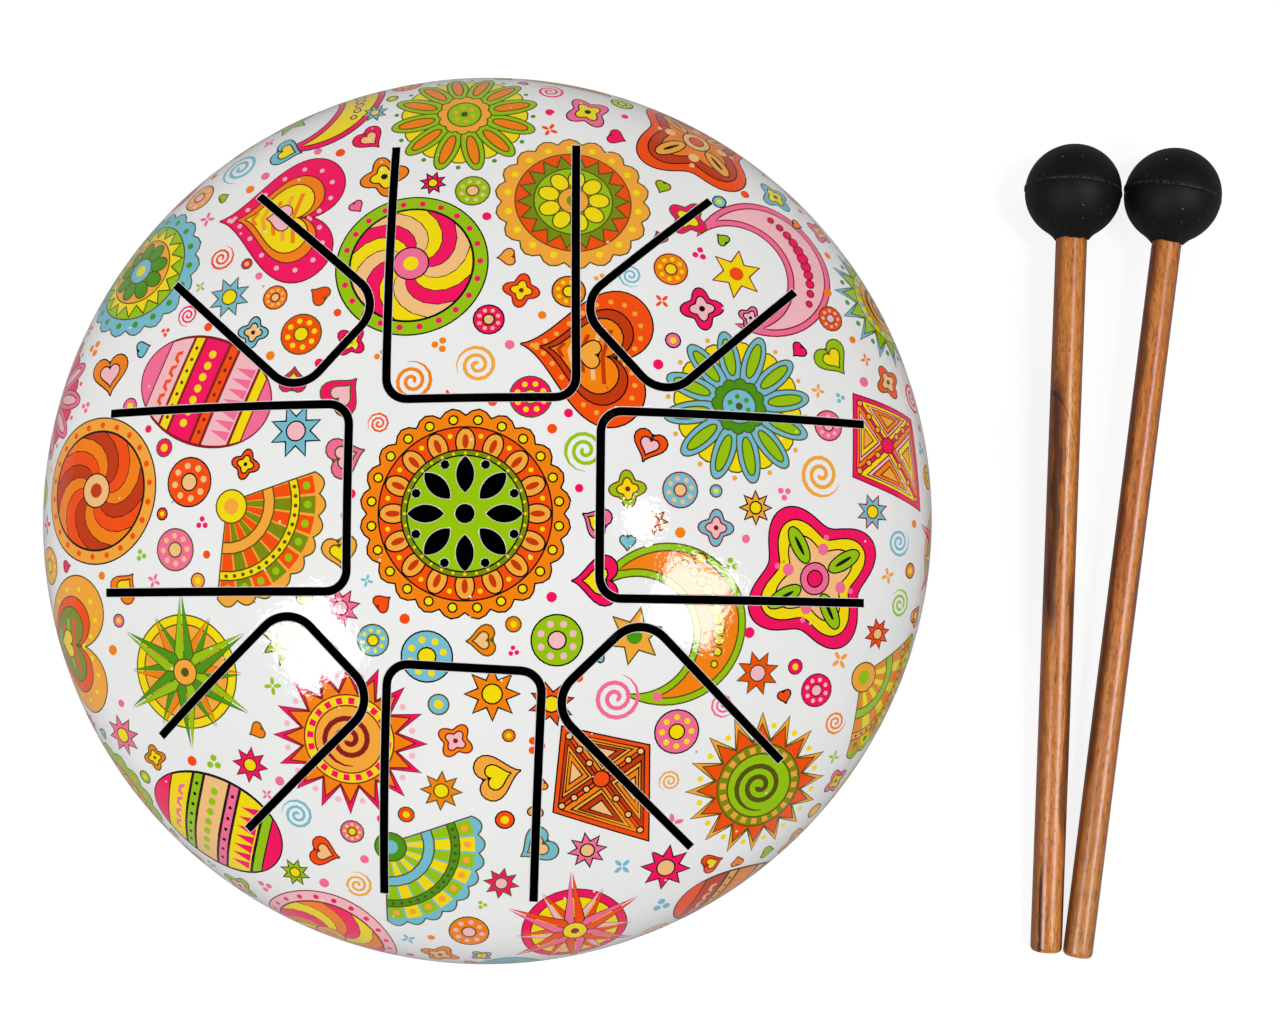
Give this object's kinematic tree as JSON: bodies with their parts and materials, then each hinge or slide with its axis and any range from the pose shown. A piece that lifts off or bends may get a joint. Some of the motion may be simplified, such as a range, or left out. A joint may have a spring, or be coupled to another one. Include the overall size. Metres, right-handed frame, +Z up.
{
  "type": "steel tongue drum",
  "caption": "Round steel tongue drum with tuned tongues cut in its dome, a sound port and rubber feet below, and a pair of rubber-headed wooden mallets beside it.",
  "frame": {"origin": "middle of the set's footprint on the table that the drum and its mallets stand on", "axes": "+Z up, +X from the drum to its mallets, +Y to the back, where the mallets' heads lie"},
  "size_m": [0.3538, 0.2617, 0.126],
  "materials": {
    "enamel": "white gloss enamel with a printed pattern",
    "foot_rubber": "matte black",
    "mallet_rubber": "matte black with mould marks",
    "screw_steel": "bright zinc",
    "handle_wood": "oiled, red-brown"
  },
  "bodies": {
    "drum": {"top_shell": "enamel", "seam_weld": "enamel", "bottom_shell": "enamel", "foot_1": "foot_rubber", "foot_2": "foot_rubber", "foot_3": "foot_rubber", "foot_4": "foot_rubber", "foot_washers": "screw_steel", "foot_screws": "screw_steel", "foot_nuts": "screw_steel"},
    "tongue_1": {"tongue_1": "enamel"},
    "tongue_2": {"tongue_2": "enamel"},
    "tongue_3": {"tongue_3": "enamel"},
    "tongue_4": {"tongue_4": "enamel"},
    "tongue_5": {"tongue_5": "enamel"},
    "tongue_6": {"tongue_6": "enamel"},
    "tongue_7": {"tongue_7": "enamel"},
    "tongue_8": {"tongue_8": "enamel"},
    "mallet_left": {"mallet_handle_left": "handle_wood", "mallet_head_left": "mallet_rubber"},
    "mallet_right": {"mallet_handle_right": "handle_wood", "mallet_head_right": "mallet_rubber"}
  },
  "joints": [
    {"name": "tongue_1_flex", "type": "hinge", "parent": "drum", "child": "tongue_1", "pos_m": [-0.0484, 0.10216, 0.09866], "axis": [0.9999, 0.014, 0], "range_deg": [-0.4, 0.4], "stiffness_Nm_per_rad": 103},
    {"name": "tongue_2_flex", "type": "hinge", "parent": "drum", "child": "tongue_2", "pos_m": [0.02424, 0.07474, 0.09677], "axis": [0.6717, -0.7408, 0], "range_deg": [-0.4, 0.4], "stiffness_Nm_per_rad": 103},
    {"name": "tongue_3_flex", "type": "hinge", "parent": "drum", "child": "tongue_3", "pos_m": [0.05426, 0.00172, 0.09562], "axis": [-0.0087, -1, 0], "range_deg": [-0.4, 0.4], "stiffness_Nm_per_rad": 103},
    {"name": "tongue_4_flex", "type": "hinge", "parent": "drum", "child": "tongue_4", "pos_m": [0.0193, -0.07634, 0.09498], "axis": [-0.723, -0.6909, 0], "range_deg": [-0.4, 0.4], "stiffness_Nm_per_rad": 89},
    {"name": "tongue_5_flex", "type": "hinge", "parent": "drum", "child": "tongue_5", "pos_m": [-0.05477, -0.10106, 0.09553], "axis": [-0.9984, 0.0558, 0], "range_deg": [-0.4, 0.4], "stiffness_Nm_per_rad": 96},
    {"name": "tongue_6_flex", "type": "hinge", "parent": "drum", "child": "tongue_6", "pos_m": [-0.12312, -0.07063, 0.09584], "axis": [-0.6858, 0.7278, 0], "range_deg": [-0.4, 0.4], "stiffness_Nm_per_rad": 96},
    {"name": "tongue_7_flex", "type": "hinge", "parent": "drum", "child": "tongue_7", "pos_m": [-0.14992, 0.00445, 0.098], "axis": [0.0052, 1, 0], "range_deg": [-0.4, 0.4], "stiffness_Nm_per_rad": 107},
    {"name": "tongue_8_flex", "type": "hinge", "parent": "drum", "child": "tongue_8", "pos_m": [-0.12175, 0.0764, 0.0969], "axis": [0.6678, 0.7443, 0], "range_deg": [-0.4, 0.4], "stiffness_Nm_per_rad": 97},
    {"name": "mallet_left_lift", "type": "slide", "parent": "drum", "child": "mallet_left", "axis": [0, 0, 1], "range_m": [0, 0.2]},
    {"name": "mallet_right_lift", "type": "slide", "parent": "drum", "child": "mallet_right", "axis": [0, 0, 1], "range_m": [0, 0.2]}
  ]
}
